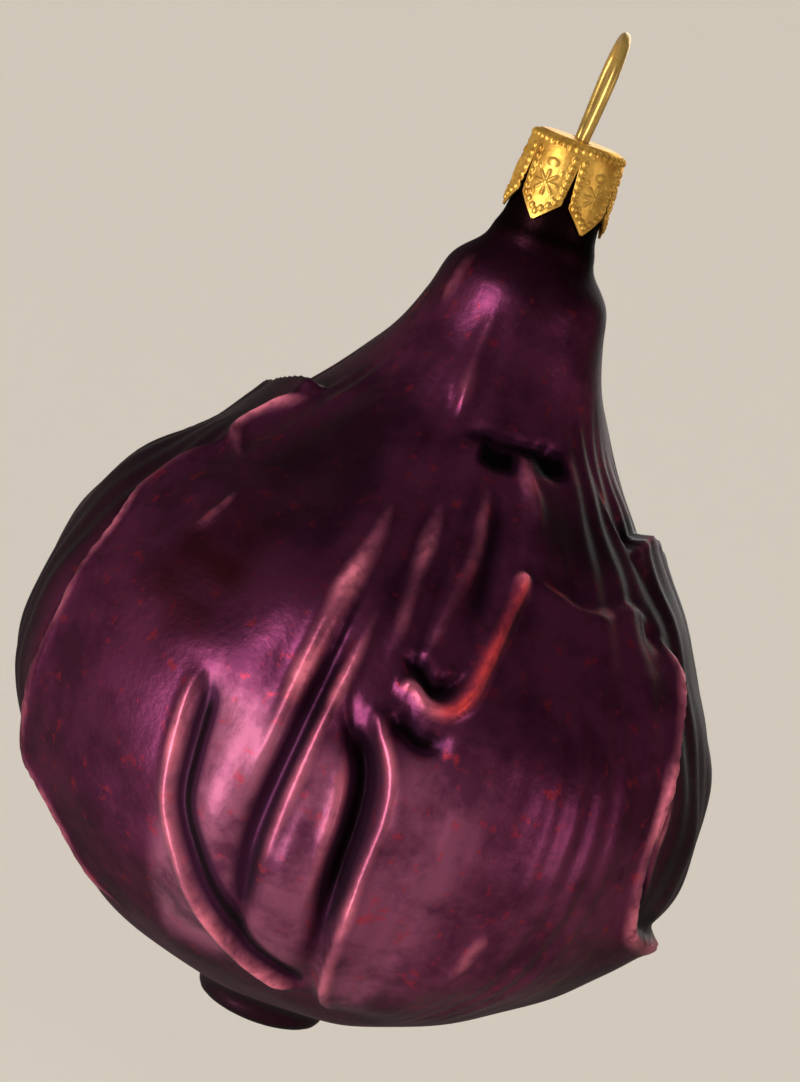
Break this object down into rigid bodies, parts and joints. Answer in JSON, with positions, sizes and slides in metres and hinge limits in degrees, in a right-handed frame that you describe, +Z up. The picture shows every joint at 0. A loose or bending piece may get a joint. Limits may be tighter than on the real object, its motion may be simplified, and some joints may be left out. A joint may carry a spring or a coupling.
{
  "type": "glass onion ornament",
  "caption": "Hollow blown-glass hanging ornament shaped like a red onion splitting into cloves, with a pointed crown cap on its neck and a sprung wire loop to hang it by.",
  "frame": {"origin": "the hang point, where a hook touches the inside of the top of the wire loop", "axes": "+Z up along the neck as the ornament hangs, -Y towards the front, where two cloves show through the torn outer skin"},
  "size_m": [0.0695, 0.0697, 0.103],
  "materials": {
    "lacquered_glass": "satin plum lacquer over silvered glass, opaque",
    "gold_cap": "embossed bright gold sheet",
    "gold_wire": "drawn gold-coloured spring wire"
  },
  "bodies": {
    "root": {"glass_bulb": "lacquered_glass", "crown_cap": "gold_cap", "hanger_wire": "gold_wire"}
  },
  "joints": []
}
